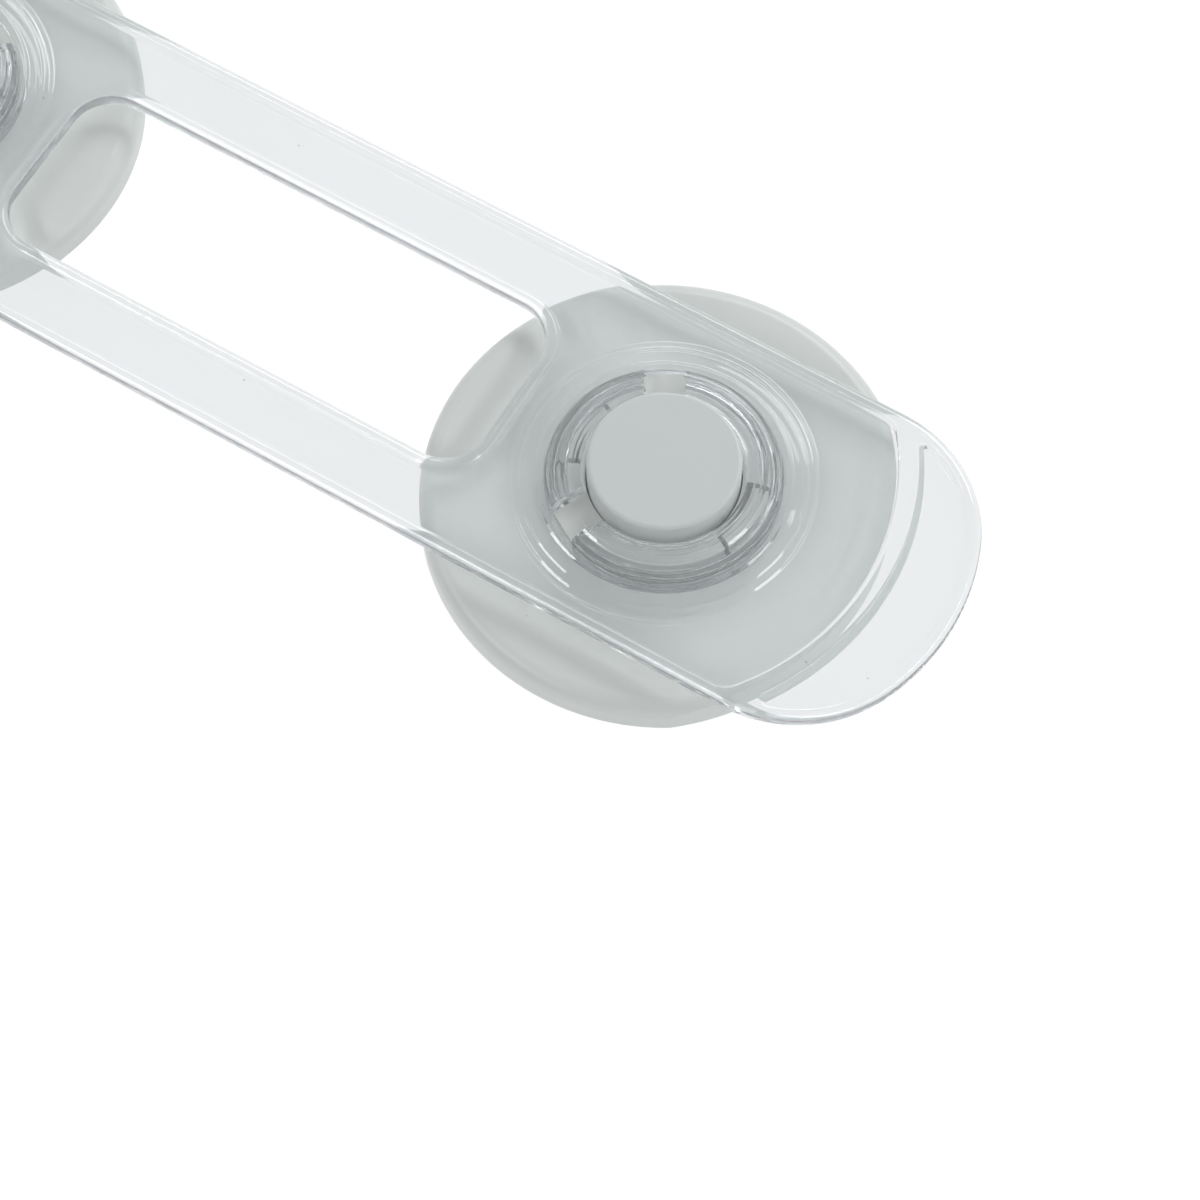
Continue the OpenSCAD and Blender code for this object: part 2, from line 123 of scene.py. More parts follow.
def tab_pocket():
    """Outline of the pocket between the ridge and the rim of the tab, and how much of each point is ridge."""
    half_w, corner_r, fillet = STRAP_HALF_W - RIM_W, TAB_CORNER_R - RIM_W, POCKET_FILLET
    rim = rounded_end(half_w, TAB_END_R - RIM_W, TAB_END_X, corner_r)
    x, y = rim[2][:2]
    ridge_r = RIDGE_R + RIDGE_W
    a, b = ridge_r + fillet, corner_r - fillet
    span = math.hypot(x - RIDGE_X, y)
    along = (a * a - b * b + span * span) / (2 * span)
    across = math.sqrt(a * a - along * along)
    ux, uy = (x - RIDGE_X) / span, y / span
    fx, fy = RIDGE_X + along * ux - across * uy, along * uy + across * ux
    on_rim = math.degrees(math.atan2(fy - y, fx - x))
    on_ridge = math.degrees(math.atan2(fy, fx - RIDGE_X))
    pieces = [
        (rim[0][0], rim[0][1], corner_r, -on_rim, rim[0][4]),
        rim[1],
        (x, y, corner_r, rim[2][3], on_rim),
        (fx, fy, fillet, on_rim, on_ridge + 180),
        (RIDGE_X, 0, ridge_r, on_ridge, -on_ridge),
        (fx, -fy, fillet, 180 - on_ridge, 360 - on_rim),
    ]
    points, normals = arcs(pieces)
    reach = np.hypot(points[:, 0] - RIDGE_X, points[:, 1]) - ridge_r
    return points, normals, np.clip(1 - reach / (0.6 * fillet), 0, 1)


def spin(angle):
    return np.array([[math.cos(angle), -math.sin(angle)], [math.sin(angle), math.cos(angle)]])


def soften(corners, side):
    """Rounds the corners (across, up, radius) of a section.

    side is 1 if the open air is on the left of its path, and -1 if on the right. Gives the points, and for
    each stretch between two of them the directions out of the surface at its ends."""
    points, out = [np.array(corners[0][:2], float)], []

    def go(point, first, last):
        points.append(point)
        out.append((first, last))

    def normal(step):
        return side * np.array([-step[1], step[0]]) / np.linalg.norm(step)

    for i in range(1, len(corners)):
        here = np.array(corners[i][:2], float)
        back = here - np.array(corners[i - 1][:2], float)
        if i == len(corners) - 1 or corners[i][2] == 0:
            go(here, normal(back), normal(back))
            continue
        ahead = np.array(corners[i + 1][:2], float) - here
        back, ahead = back / np.linalg.norm(back), ahead / np.linalg.norm(ahead)
        turn = math.atan2(back[0] * ahead[1] - back[1] * ahead[0], back @ ahead)
        radius = corners[i][2]
        start = here - back * radius * math.tan(abs(turn) / 2)
        if np.linalg.norm(start - points[-1]) > SAME_PLACE:
            go(start, normal(back), normal(back))
        centre = start + math.copysign(radius, turn) * np.array([-back[1], back[0]])
        by_length, by_turn = abs(turn) * radius / SECTION_STEP, math.degrees(abs(turn)) / SECTION_TURN
        steps = max(3, math.ceil(by_length), math.ceil(by_turn))
        for k in range(1, steps + 1):
            before, after = spin(turn * (k - 1) / steps), spin(turn * k / steps)
            go(centre + after @ (start - centre), before @ normal(back), after @ normal(back))
    return np.array(points), np.array(out)


class Moulding:
    """Gathers one closed surface, with the exact direction out of it at every corner of every face."""

    def __init__(self):
        self.points, self.faces, self.normals = [], [], []

    def ring(self, places):
        first = len(self.points)
        self.points.extend(np.asarray(places, float))
        return np.arange(first, len(self.points))

    def face(self, corners, normals):
        p = [self.points[i] for i in corners]
        facing = np.cross(p[1] - p[0], p[2] - p[0])
        if len(p) == 4:
            facing = facing + np.cross(p[2] - p[0], p[3] - p[0])
        if facing @ np.sum(normals, axis=0) < 0:
            corners, normals = corners[::-1], normals[::-1]
        self.faces.append([int(i) for i in corners])
        self.normals.extend(normals)

    def strip(self, a, b, na, nb, closed=True):
        count = len(a) if closed else len(a) - 1
        for i in range(count):
            j = (i + 1) % len(a)
            self.face([a[i], a[j], b[j], b[i]], [na[i], na[j], nb[j], nb[i]])

    def fill(self, rings, facing):
        """Flat face with holes: the first ring is its edge."""
        facing = np.array(facing, float)
        u = np.array([1.0, 0, 0]) if abs(facing[2]) > 0.5 else np.array([-facing[1], facing[0], 0])
        v = np.cross(facing, u)
        index = np.concatenate(rings)
        flat = np.array([[self.points[i] @ u, self.points[i] @ v] for i in index])
        edges, loops, first = [], [], 0
        for ring in rings:
            n = len(ring)
            edges += [(first + k, first + (k + 1) % n) for k in range(n)]
            loops.append(flat[first:first + n])
            first += n
        made = delaunay_2d_cdt([Vector(p) for p in flat], edges, [], 0, 1e-7, True)
        source = [ids[0] for ids in made[3]]
        triangles = np.array([[source[k] for k in face] for face in made[2]])
        # A triangle is kept if a line from its middle crosses the loops an odd number of times
        middle_x, middle_y = flat[triangles].mean(axis=1).T
        inside = np.zeros(len(triangles), bool)
        for loop in loops:
            for (ax, ay), (bx, by) in zip(loop, np.roll(loop, -1, axis=0)):
                if ay == by:
                    continue
                crossed = (middle_y < max(ay, by)) & (middle_y >= min(ay, by))
                inside ^= crossed & (middle_x < ax + (middle_y - ay) * (bx - ax) / (by - ay))
        for triangle in triangles[inside]:
            self.face([index[k] for k in triangle], [facing] * 3)

    def sweep(self, outline, section):
        """Carries a section round a closed outline. Gives its first and last rings, which flat faces can share.

        What the section says, point by point, is one number or one for each point of the outline."""
        places, out = outline
        points, normals = section

        def around(values):
            across, up = (np.broadcast_to(value, len(places)) for value in values)
            return np.c_[across[:, None] * out, up]

        on_outline = np.c_[places, np.zeros(len(places))]
        rings = [self.ring(on_outline + around(point)) for point in points]
        for k, (first, last) in enumerate(normals):
            self.strip(rings[k], rings[k + 1], around(first), around(last))
        return rings[0], rings[-1]

    def mesh(self, name):
        mesh = bpy.data.meshes.new(name)
        mesh.from_pydata([tuple(p * MM) for p in self.points], [], self.faces)
        mesh.update()
        mesh.polygons.foreach_set("use_smooth", [True] * len(mesh.polygons))
        mesh.normals_split_custom_set([tuple(n / np.linalg.norm(n)) for n in self.normals])
        return mesh


def mixed(section_a, section_b, share):
    """A section that changes from one to the other round the outline, by share."""
    def blend(a, b):
        return tuple(a[i] * (1 - share) + b[i] * share for i in (0, 1))

    points = [blend(a, b) for a, b in zip(section_a[0], section_b[0])]
    normals = [[blend(a, b) for a, b in zip(*pairs)] for pairs in zip(section_a[1], section_b[1])]
    return points, normals


def show(mesh, name, body, slot, material, *stands_for):
    piece = bpy.data.objects.new(name, mesh)
    bpy.context.scene.collection.objects.link(piece)
    mesh.materials.clear()
    mesh.materials.append(material)
    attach(piece, body)
    if stands_for:
        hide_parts(*stands_for)
    return piece


# ---------- materials ----------

def linear(code):
    """sRGB hex to the linear colour that shaders take."""
    parts = [int(code[i:i + 2], 16) / 255 for i in (1, 3, 5)]
    return (*[c / 12.92 if c <= 0.04045 else ((c + 0.055) / 1.055) ** 2.4 for c in parts], 1)


def add(tree, kind, inputs=None, **settings):
    """Adds a node with its settings, and sets or links its inputs."""
    node = tree.nodes.new(kind)
    for name, value in settings.items():
        setattr(node, name, value)
    for socket, value in (inputs or {}).items():
        if isinstance(value, bpy.types.NodeSocket):
            tree.links.new(value, node.inputs[socket])
        else:
            node.inputs[socket].default_value = value
    return node


def new_material(name):
    material = bpy.data.materials.new(name)
    material.use_nodes = True
    material.node_tree.nodes.clear()
    return material, material.node_tree


def per_mm(size):
    """Scale of a pattern whose cells are so many millimetres wide."""
    return 1 / (size * MM)


def rgb_mix(tree, factor, first, second):
    """One colour mixed with another, both hex values."""
    mix = add(tree, "ShaderNodeMix", {0: factor, 6: linear(first), 7: linear(second)}, data_type="RGBA")
    return mix.outputs[2]


def specks(tree, where, spacing, size):
    """1 inside specks of dust, one to each cell of so many millimetres, and 0 elsewhere."""
    cells = add(tree, "ShaderNodeTexVoronoi", {"Vector": where, "Scale": per_mm(spacing), "Randomness": 1.0})
    near = add(tree, "ShaderNodeMath", {0: cells.outputs["Distance"], 1: size}, operation="LESS_THAN")
    return near.outputs[0]


def moulded_grey(name, colour, roughness, grain, depth):
    """Opaque injection-moulded ABS: an even colour with a little flow shade, a fine tool texture that softens
    the gloss, faint rub marks from handling, and the odd dark speck of dust.

    colour holds the two shades and the speck's; grain and depth are the texture's, in millimetres."""
    material, tree = new_material(name)
    where = add(tree, "ShaderNodeTexCoord").outputs["Object"]
    flow = add(tree, "ShaderNodeTexNoise", {"Vector": where, "Scale": per_mm(22), "Detail": 2.0})
    shade = rgb_mix(tree, flow.outputs["Fac"], colour[0], colour[1])
    spotted = add(tree, "ShaderNodeMix", {
        0: specks(tree, where, 5.5, 0.016), 6: shade, 7: linear(colour[2])}, data_type="RGBA")
    stretch = add(tree, "ShaderNodeMapping", {"Vector": where, "Rotation": (0, 0, 0.9), "Scale": (1, 9, 1)})
    rubs = add(tree, "ShaderNodeTexNoise", {
        "Vector": stretch.outputs[0], "Scale": per_mm(3.5), "Detail": 3.0, "Roughness": 0.7})
    rubbed = add(tree, "ShaderNodeMapRange", {
        "Value": rubs.outputs["Fac"], "From Min": 0.3, "From Max": 0.8,
        "To Min": roughness - 0.01, "To Max": roughness + 0.03})
    texture = add(tree, "ShaderNodeTexNoise", {"Vector": where, "Scale": per_mm(grain), "Detail": 2.0})
    bump = add(tree, "ShaderNodeBump", {
        "Height": texture.outputs["Fac"], "Strength": 0.35, "Distance": depth * MM})
    shader = add(tree, "ShaderNodeBsdfPrincipled", {
        "Base Color": spotted.outputs[2], "Roughness": rubbed.outputs[0], "IOR": 1.53,
        "Normal": bump.outputs[0]})
    add(tree, "ShaderNodeOutputMaterial", {0: shader.outputs[0]})
    return material


def clear_polycarbonate():
    """Clear polycarbonate from a polished mould: glass-like, IOR 1.585, with a trace of haze and cool tint
    and a few dark specks. Light passes its flat faces and is held back by its upright ones."""
    material, tree = new_material("Clear_polycarbonate_polished_mould")
    where = add(tree, "ShaderNodeTexCoord").outputs["Object"]
    tint = rgb_mix(tree, specks(tree, where, 4.5, 0.018), "#F1F3F4", "#6B6660")
    glass = add(tree, "ShaderNodeBsdfPrincipled", {
        "Base Color": tint, "Roughness": 0.03, "IOR": 1.585, "Transmission Weight": 0.92})
    up = add(tree, "ShaderNodeSeparateXYZ", {0: add(tree, "ShaderNodeNewGeometry").outputs["Normal"]})
    flat = add(tree, "ShaderNodeMath", {0: up.outputs["Z"]}, operation="ABSOLUTE")
    upright = add(tree, "ShaderNodeMapRange", {"Value": flat.outputs[0], "From Min": 0.97, "From Max": 0.55})
    passed = rgb_mix(tree, upright.outputs[0], "#F4F5F5", "#1C1E20")
    clear = add(tree, "ShaderNodeBsdfTransparent", {"Color": passed})
    shadow = add(tree, "ShaderNodeLightPath").outputs["Is Shadow Ray"]
    mix = add(tree, "ShaderNodeMixShader", {0: shadow, 1: glass.outputs[0], 2: clear.outputs[0]})
    add(tree, "ShaderNodeOutputMaterial", {0: mix.outputs[0]})
    return material


def closed_cell_foam():
    """Die-cut closed-cell polyethylene foam tape: soft white, matt, with cells of 0.28 mm that show at its
    cut edge."""
    material, tree = new_material("Polyethylene_foam_die_cut")
    where = add(tree, "ShaderNodeTexCoord").outputs["Object"]
    cells = add(tree, "ShaderNodeTexVoronoi", {"Vector": where, "Scale": per_mm(0.28)})
    shade = rgb_mix(tree, cells.outputs["Distance"], "#F2F2EF", "#D9D9D4")
    bump = add(tree, "ShaderNodeBump", {
        "Height": cells.outputs["Distance"], "Strength": 0.7, "Distance": 0.06 * MM})
    shader = add(tree, "ShaderNodeBsdfPrincipled", {
        "Base Color": shade, "Roughness": 0.85, "IOR": 1.5, "Subsurface Weight": 0.08,
        "Subsurface Radius": (MM, MM, MM), "Subsurface Scale": 0.4, "Normal": bump.outputs[0]})
    add(tree, "ShaderNodeOutputMaterial", {0: shader.outputs[0]})
    return material


def spring_wire():
    """Cold-drawn spring steel wire: bright grey metal with fine lines that the drawing die leaves."""
    material, tree = new_material("Spring_steel_drawn_wire")
    where = add(tree, "ShaderNodeTexCoord").outputs["Object"]
    lines = add(tree, "ShaderNodeTexNoise", {"Vector": where, "Scale": per_mm(0.12), "Detail": 2.0})
    shade = rgb_mix(tree, lines.outputs["Fac"], "#A9ADB0", "#C9CCCE")
    rough = add(tree, "ShaderNodeMapRange", {"Value": lines.outputs["Fac"], "To Min": 0.22, "To Max": 0.42})
    shader = add(tree, "ShaderNodeBsdfPrincipled", {
        "Base Color": shade, "Metallic": 1.0, "Roughness": rough.outputs[0]})
    add(tree, "ShaderNodeOutputMaterial", {0: shader.outputs[0]})
    return material


clear_plastic = clear_polycarbonate()
greys = {
    "base_shell": moulded_grey(
        "ABS_grey_fine_moulded_texture", ("#D9DDD9", "#DCDFDB", "#8C8984"), 0.34, 0.18, 0.012),
    "button": moulded_grey(
        "ABS_grey_button_satin_moulded", ("#D0D4D2", "#D3D6D4", "#7F7C78"), 0.30, 0.22, 0.010),
    "back_plate": moulded_grey(
        "ABS_grey_plate_matt_moulded", ("#B9BDBD", "#C0C3C2", "#7F7C78"), 0.55, 0.30, 0.020),
}
foam_white = closed_cell_foam()
steel = spring_wire()

for side in ("left", "right"):
    for part, material in greys.items():
        mesh = nodes[side + "_" + part].data
        mesh.materials.clear()
        mesh.materials.append(material)


# ---------- the clear strap ----------

def hub_sections():
    """Section of the raised hub outside the notches: over it, through the collar, and under it."""
    over = soften([
        (HUB_FOOT_R, WEB_TOP, 0), (15.75, WEB_TOP, 0.8), (15.15, 7.44, 0.9), (14.72, 7.46, 0.3),
        (14.4, 7.66, 0.3), (13.2, 7.7, 0.35), (12.8, 7.95, 0.35), (NOTCH_R, 7.95, 0)], -1)
    outside = [(NOTCH_R, 7.95, 0), (11.9, 7.95, 0.18), (11.9, 8.5, 0.6), (11.3, 9.08, 0.5), (10.82, 9.2, 0.4)]
    roof = [(10.4, 9.475, 0.4), (9.95, 9.5, 0.15), (9.75, 9.26, 0.12), (9.3, 9.26, 0.12), (9.12, 9.42, 0.1),
            (8.65, 9.42, 0.1)]
    mouth = [(8.4, 9.25, 0.1), (8.4, 8.0, 0.12), (10.95, 8.0, 0.2)]
    lip = [(10.95, 5.7, 0.12), (10.3, 5.7, 0.1), (10.3, 5.1, 0.1), (10.65, 4.75, 0.1)]
    skirt = [(11.9, 4.75, 0.2), (11.9, 6.75, 0.18), (NOTCH_R, 6.75, 0)]
    collar = soften(outside + roof + mouth + lip + skirt, -1)
    under = soften([
        (NOTCH_R, 6.75, 0), (12.4, 6.75, 0.5), (15.5, STRAP_BOTTOM, 0.5), (HUB_UNDER_R, STRAP_BOTTOM, 0)], -1)
    return over, collar, under


def add_hub(moulding, side):
    """The hub of one catch. Its collar is two sectors, parted by the notches.

    Gives its rings on the web and below it."""
    notch = math.radians(NOTCH_ANGLE)
    turn = 0 if side > 0 else math.pi

    def rays_at(angles):
        return np.c_[np.cos(angles + turn), np.sin(angles + turn)]

    def sector(index, radius):
        """Angles round one sector of the collar, at that radius."""
        half = math.asin(NOTCH_HALF_W / radius)
        start, end = ((-notch, notch), (notch, 2 * math.pi - notch))[index]
        return np.linspace(start + half, end - half, SECTOR_POINTS[index])

    def gap(start, end):
        """Angles across a notch, without the two that its sectors have."""
        return np.linspace(start, end, NOTCH_POINTS)[1:-1]

    over, collar, under = hub_sections()
    sectors = [sector(k, NOTCH_R) for k in (0, 1)]
    gaps = [gap(sectors[0][-1], sectors[1][0]), gap(sectors[1][-1], sectors[0][0] + 2 * math.pi)]
    angles = np.concatenate([sectors[0], gaps[0], sectors[1], gaps[1]])
    rays = rays_at(angles)
    centre = np.tile([side * HUB_X, 0.0], (len(angles), 1))
    foot, top = moulding.sweep((centre, rays), over)
    bottom, under_ring = moulding.sweep((centre, rays), under)
    n0, g = len(sectors[0]), len(gaps[0])
    spans = [slice(0, n0), slice(n0 + g, n0 + g + len(sectors[1]))]
    columns = []
    for k, span in enumerate(spans):
        rings = []
        for j, (radius, z) in enumerate(collar[0]):
            if j == 0:
                rings.append(top[span])
            elif j == len(collar[0]) - 1:
                rings.append(bottom[span])
            else:
                spread = radius * rays_at(sector(k, radius))
                rings.append(moulding.ring(np.c_[spread + (side * HUB_X, 0), np.full(len(spread), z)]))
        for j, pair in enumerate(collar[1]):
            sides = []
            for (radius, _), n in zip(collar[0][j:j + 2], pair):
                spread = n[0] * rays_at(sector(k, radius))
                sides.append(np.c_[spread, np.full(len(spread), n[1])])
            moulding.strip(rings[j], rings[j + 1], sides[0], sides[1], closed=False)
        columns.append(([r[0] for r in rings], [r[-1] for r in rings]))
    # Walls of the notches: two flat sides and the curved end of each
    for angle, before, after in ((notch, columns[0][1], columns[1][0]), (-notch, columns[1][1], columns[0][0])):
        across = np.array([-math.sin(angle + turn), math.cos(angle + turn), 0])
        moulding.fill([np.array(before)], across)
        moulding.fill([np.array(after)], -across)
    for start, stop in ((n0 - 1, n0 + g + 1), (len(angles) - g - 1, len(angles) + 1)):
        picked = np.arange(start, stop) % len(angles)
        inward = -np.c_[rays[picked], np.zeros(len(picked))]
        moulding.strip(top[picked], bottom[picked], inward, inward, closed=False)
    return foot, under_ring


def clear_strap():
    moulding = Moulding()
    edge = both_ends(rounded_end(STRAP_HALF_W, TAB_END_R, TAB_END_X, TAB_CORNER_R))
    pocket = both_ends(rounded_end(STRAP_HALF_W - RIM_W, RIDGE_R, RIDGE_X, RIDGE_CORNER_R))
    slot, slot_rim = slot_outline(0), slot_outline(RIM_W)

    def wall(side):
        """Full height of the strap. side is 1 round the strap and -1 round the slot."""
        return soften([
            (-side * EDGE_ROUND, RIM_TOP, 0), (0, RIM_TOP, EDGE_ROUND),
            (0, STRAP_BOTTOM, EDGE_ROUND), (-side * EDGE_ROUND, STRAP_BOTTOM, 0)], side)

    def step(side):
        """From the rim down to the web. side is 1 if the web lies outside the outline and -1 if inside."""
        return soften([
            (-side * RIM_ROUND, RIM_TOP, 0), (0, RIM_TOP, RIM_ROUND),
            (0, WEB_TOP, FOOT_ROUND), (side * FOOT_ROUND, WEB_TOP, 0)], side)

    edge_top, edge_bottom = moulding.sweep(edge, wall(1))
    slot_top, slot_bottom = moulding.sweep(slot, wall(-1))
    rim_top, rim_foot = moulding.sweep(slot_rim, step(1))
    pocket_top, pocket_foot = moulding.sweep(pocket, step(-1))
    hubs = [add_hub(moulding, side) for side in (-1, 1)]
    points, normals, ridge_share = tab_pocket()
    # The foot of the ridge's slope reaches less far into the pocket than the fillet of its outline
    ridge_side = soften([
        (1.2, RIM_TOP, 0), (0.75, RIM_TOP, RIDGE_ROUND), (0.05, WEB_TOP, 0.35), (-0.12, WEB_TOP, 0)], -1)
    pocket_wall = matched(step(-1), ridge_side, ridge_share)
    tabs = []
    for side in (-1, 1):
        outline = (np.array([side * HUB_X, 0]) + side * points, side * normals)
        tabs.append(moulding.sweep(outline, pocket_wall))
    moulding.fill([edge_top, pocket_top, tabs[0][0], tabs[1][0]], (0, 0, 1))
    moulding.fill([rim_top, slot_top], (0, 0, 1))
    moulding.fill([pocket_foot, rim_foot, hubs[0][0], hubs[1][0]], (0, 0, 1))
    for tab in tabs:
        moulding.fill([tab[1]], (0, 0, 1))
    moulding.fill([edge_bottom, slot_bottom, hubs[0][1], hubs[1][1]], (0, 0, -1))
    return moulding.mesh("clear_strap")


def matched(rim_side, ridge_side, share):
    """The wall of the tab's pocket: the rim's section on the rim, the ridge's on the ridge, with equal counts
    of points."""
    def even(section):
        points, normals = section
        wanted = np.linspace(0, 1, POCKET_WALL_POINTS)
        lengths = np.r_[0, np.cumsum(np.linalg.norm(np.diff(points, axis=0), axis=1))]
        at = lengths / lengths[-1]
        place = np.c_[np.interp(wanted, at, points[:, 0]), np.interp(wanted, at, points[:, 1])]
        knots, values = [], []
        for k, (first, last) in enumerate(normals):
            knots += [at[k] + 1e-9, at[k + 1] - 1e-9]
            values += [first, last]
        values = np.array(values)
        n = np.c_[np.interp(wanted, knots, values[:, 0]), np.interp(wanted, knots, values[:, 1])]
        n /= np.linalg.norm(n, axis=1)[:, None]
        return place, [(n[k], n[k + 1]) for k in range(len(n) - 1)]

    return mixed(even(rim_side), even(ridge_side), share)


show(clear_strap(), "strap_moulding", "lifting_strap", "clear_plastic", clear_plastic, "strap")


# ---------- foam pads and return springs ----------

def foam_pad(side):
    """Die-cut pad in the outline of the base. Its cut edge bulges a little, as foam does under its own skin."""
    radius, cut_r = BASE_R - PAD_INSET, RIDGE_R - PAD_INSET
    x = (cut_r ** 2 - radius ** 2 - RIDGE_X ** 2) / (-2 * RIDGE_X)
    y = math.sqrt(radius ** 2 - x * x)
    on_disc, on_cut = math.degrees(math.atan2(y, x)), math.degrees(math.atan2(y, x - RIDGE_X))
    points, normals = arcs([(0, 0, radius, on_disc, 360 - on_disc), (RIDGE_X, 0, cut_r, -on_cut, on_cut)])
    moulding = Moulding()
    wall = soften([
        (-0.25, PAD_T, 0), (-0.02, PAD_T, 0.12), (0.05, PAD_T / 2, 0.6), (-0.02, 0, 0.12), (-0.25, 0, 0)], 1)
    top, bottom = moulding.sweep((np.array([side * HUB_X, 0]) + side * points, side * normals), wall)
    moulding.fill([top], (0, 0, 1))
    moulding.fill([bottom], (0, 0, -1))
    return moulding.mesh("foam_pad")


def spring_tree(material):
    """Geometry nodes for a compression spring: an open coil between two closed end coils, of round wire."""
    tree = bpy.data.node_groups.new("closed_end_spring", "GeometryNodeTree")
    sizes = {
        "Coil radius": COIL_R * MM, "Wire diameter": WIRE_D * MM, "Free coils": FREE_COILS,
        "Lowest wire": (SPRING_BOTTOM + WIRE_D / 2) * MM, "Highest wire": (SPRING_TOP - WIRE_D / 2) * MM,
        "Place": HUB_X * MM}
    for name, value in sizes.items():
        socket = tree.interface.new_socket(name, in_out="INPUT", socket_type="NodeSocketFloat")
        socket.default_value = value
    tree.interface.new_socket("Geometry", in_out="OUTPUT", socket_type="NodeSocketGeometry")
    given = add(tree, "NodeGroupInput")
    size = {name: given.outputs[name] for name in sizes}

    def maths(operation, *values):
        return add(tree, "ShaderNodeMath", dict(enumerate(values)), operation=operation).outputs[0]

    per_turn, closed_coils = 40, 2
    count = int((FREE_COILS + closed_coils) * per_turn)
    turns = maths("DIVIDE", add(tree, "GeometryNodeInputIndex").outputs[0], float(per_turn))
    free = maths("DIVIDE", maths("SUBTRACT", turns, 1.0), size["Free coils"])
    free = add(tree, "ShaderNodeClamp", {0: free}).outputs[0]
    last = maths("MAXIMUM", maths("SUBTRACT", turns, maths("ADD", size["Free coils"], 1.0)), 0.0)
    closed = maths("ADD", maths("MINIMUM", turns, 1.0), last)
    height = maths("SUBTRACT", size["Highest wire"], size["Lowest wire"])
    rise = maths("SUBTRACT", height, maths("MULTIPLY", size["Wire diameter"], float(closed_coils)))
    climbed = maths("ADD", maths("MULTIPLY", closed, size["Wire diameter"]), maths("MULTIPLY", free, rise))
    z = maths("ADD", size["Lowest wire"], climbed)
    angle = maths("MULTIPLY", turns, 2 * math.pi)
    x = maths("ADD", maths("MULTIPLY", maths("COSINE", angle), size["Coil radius"]), size["Place"])
    y = maths("MULTIPLY", maths("SINE", angle), size["Coil radius"])
    place = add(tree, "ShaderNodeCombineXYZ", {0: x, 1: y, 2: z})
    line = add(tree, "GeometryNodeMeshLine", {"Count": count + 1})
    moved = add(tree, "GeometryNodeSetPosition", {"Geometry": line.outputs[0], "Position": place.outputs[0]})
    path = add(tree, "GeometryNodeMeshToCurve", {"Mesh": moved.outputs[0]})
    section = add(tree, "GeometryNodeCurvePrimitiveCircle", {
        "Resolution": 14, "Radius": maths("DIVIDE", size["Wire diameter"], 2.0)})
    wire = add(tree, "GeometryNodeCurveToMesh", {
        "Curve": path.outputs[0], "Profile Curve": section.outputs[0], "Fill Caps": True})
    real = add(tree, "GeometryNodeRealizeInstances", {"Geometry": wire.outputs[0]})
    finish = add(tree, "GeometryNodeSetMaterial", {"Geometry": real.outputs[0], "Material": material})
    add(tree, "NodeGroupOutput", {0: finish.outputs[0]})
    return tree


def spring_mesh(tree, side):
    """The nodes' result as a plain mesh. At the left the spring is turned half round, as its solid is."""
    maker = bpy.data.objects.new("maker", bpy.data.meshes.new("maker"))
    bpy.context.scene.collection.objects.link(maker)
    maker.modifiers.new("spring", "NODES").node_group = tree
    mesh = bpy.data.meshes.new_from_object(maker.evaluated_get(bpy.context.evaluated_depsgraph_get()))
    bpy.data.objects.remove(maker)
    places = np.zeros(len(mesh.vertices) * 3)
    mesh.vertices.foreach_get("co", places)
    places = places.reshape(-1, 3) * (side, side, 1)
    mesh.vertices.foreach_set("co", places.ravel())
    mesh.polygons.foreach_set("use_smooth", [True] * len(mesh.polygons))
    mesh.update()
    return mesh


springs = spring_tree(steel)
for name, side in (("left", -1), ("right", 1)):
    pad = show(foam_pad(side), name + "_foam_pad", name + "_base", "foam", foam_white, name + "_adhesive_pad")
    spring = show(spring_mesh(springs, side), name + "_wire_spring", name + "_base", "spring_steel", steel,
                  name + "_return_spring")
    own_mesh(spring)


# ---------- floor, light and camera ----------

def pale_floor():
    """Plain white floor. What looks at it straight, in a reflection or through the strap sees it bright, with a
    faint shadow.

    It lies a stroke of the joints below the pads, so that a base that drops off the strap comes to stand on it.
    It can't be seen from below, so that the underside of the lock can."""
    material, tree = new_material("Plain_white_floor")
    matt = add(tree, "ShaderNodeBsdfDiffuse", {"Color": linear("#F4F4F4")})
    dim = add(tree, "ShaderNodeBsdfDiffuse", {"Color": (0.12, 0.12, 0.12, 1)})
    glow = add(tree, "ShaderNodeEmission", {"Color": (1, 1, 1, 1), "Strength": 0.93})
    seen = add(tree, "ShaderNodeAddShader", {0: dim.outputs[0], 1: glow.outputs[0]})
    path = add(tree, "ShaderNodeLightPath").outputs
    looking = path["Is Camera Ray"]
    for kind in ("Is Glossy Ray", "Is Transmission Ray"):
        looking = add(tree, "ShaderNodeMath", {0: looking, 1: path[kind]}, operation="MAXIMUM").outputs[0]
    mix = add(tree, "ShaderNodeMixShader", {0: looking, 1: matt.outputs[0], 2: seen.outputs[0]})
    behind = add(tree, "ShaderNodeNewGeometry").outputs["Backfacing"]
    clear = add(tree, "ShaderNodeBsdfTransparent")
    shown = add(tree, "ShaderNodeMixShader", {0: behind, 1: mix.outputs[0], 2: clear.outputs[0]})
    add(tree, "ShaderNodeOutputMaterial", {0: shown.outputs[0]})
    mesh = bpy.data.meshes.new("floor")
    half = 1.5
    corners = [(-half, -half, 0), (half, -half, 0), (half, half, 0), (-half, half, 0)]
    mesh.from_pydata(corners, [], [(0, 1, 2, 3)])
    mesh.materials.append(material)
    floor = bpy.data.objects.new("floor", mesh)
    floor.location.z = -(STROKE + 0.02) * MM
    bpy.context.scene.collection.objects.link(floor)


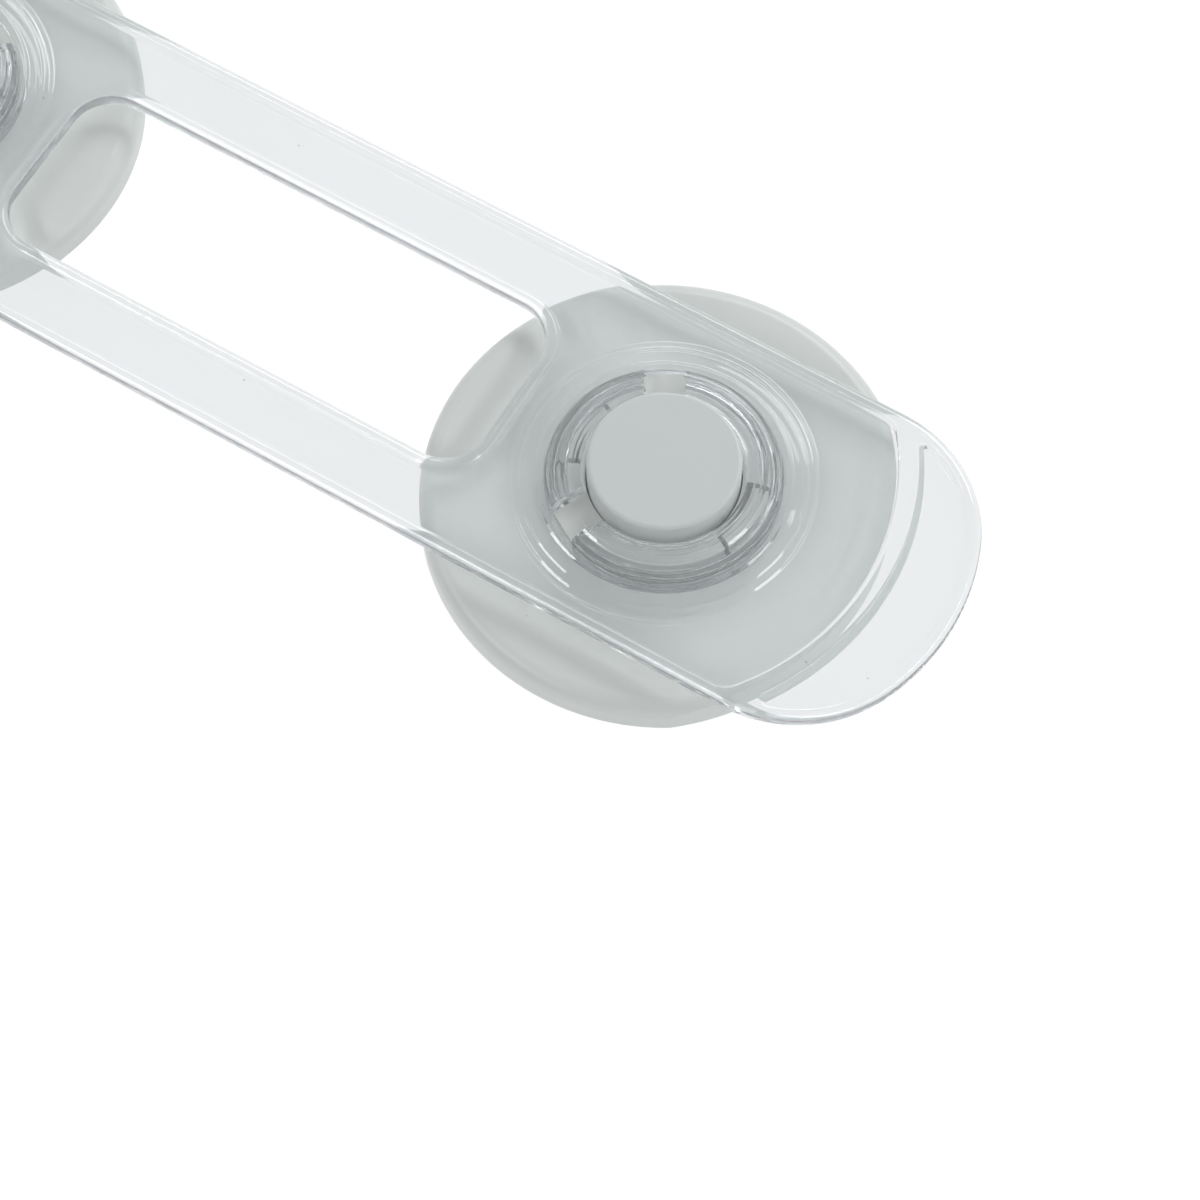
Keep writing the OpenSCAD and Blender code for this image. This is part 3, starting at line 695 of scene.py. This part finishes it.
def softbox(name, place, width, height, watts):
    """An oval lamp that faces the right catch."""
    lamp = bpy.data.lights.new(name, "AREA")
    lamp.shape = "ELLIPSE"
    lamp.size, lamp.size_y, lamp.energy = width, height, watts
    light = bpy.data.objects.new(name, lamp)
    light.location = place
    light.rotation_euler = (LAMP_AIM - Vector(place)).to_track_quat("-Z", "Y").to_euler()
    bpy.context.scene.collection.objects.link(light)


pale_floor()
softbox("far_side_softbox", (-0.11, 0.905, 0.77), 0.9, 0.4, 3.7)
# The steps of the hub mirror these two at the camera, as thin bright arcs
softbox("right_strip", (0.725, 0.12, 0.58), 1.1, 0.09, 1.5)
softbox("near_side_strip", (-0.38, -0.54, 0.58), 1.1, 0.09, 2.0)

scene = bpy.context.scene
world = bpy.data.worlds.new("plain_light")
world.use_nodes = True
sky = world.node_tree
# Dimmer overhead, where the flat faces of the strap would mirror it, and brighter on the far side
towards = add(sky, "ShaderNodeTexCoord").outputs["Generated"]
up = add(sky, "ShaderNodeSeparateXYZ", {0: towards}).outputs["Z"]
overhead = add(sky, "ShaderNodeMapRange", {
    "Value": up, "From Min": 0.25, "From Max": 0.85, "To Min": 0.75, "To Max": 0.36
}, interpolation_type="SMOOTHSTEP")
far_right = add(sky, "ShaderNodeVectorMath", {0: towards, 1: (0.5, 0.87, 0.0)}, operation="DOT_PRODUCT")
from_far_side = add(sky, "ShaderNodeMapRange", {
    "Value": far_right.outputs["Value"], "From Min": -1.0, "To Min": 0.55, "To Max": 1.45})
tent = add(sky, "ShaderNodeMath", {0: overhead.outputs[0], 1: from_far_side.outputs[0]}, operation="MULTIPLY")
rays = add(sky, "ShaderNodeLightPath").outputs
strength = add(sky, "ShaderNodeMix", {0: rays["Is Camera Ray"], 2: tent.outputs[0], 3: 1.0})
sky.links.new(strength.outputs[0], sky.nodes["Background"].inputs["Strength"])
sky.nodes["Background"].inputs["Color"].default_value = linear("#F4F7FC")
scene.world = world
scene.view_settings.view_transform = "Standard"
# Light that enters the strap at its edge runs along inside it, so its paths are long
scene.cycles.max_bounces = scene.cycles.glossy_bounces = scene.cycles.transmission_bounces = 20

camera = bpy.data.objects.new("camera", bpy.data.cameras.new("camera"))
camera.location = CAMERA_PLACE
camera.rotation_euler = (CAMERA_AIM - CAMERA_PLACE).to_track_quat("-Z", "Y").to_euler()
camera.data.sensor_width = 36
camera.data.lens = 121
camera.data.clip_start = 0.01
scene.collection.objects.link(camera)
scene.camera = camera
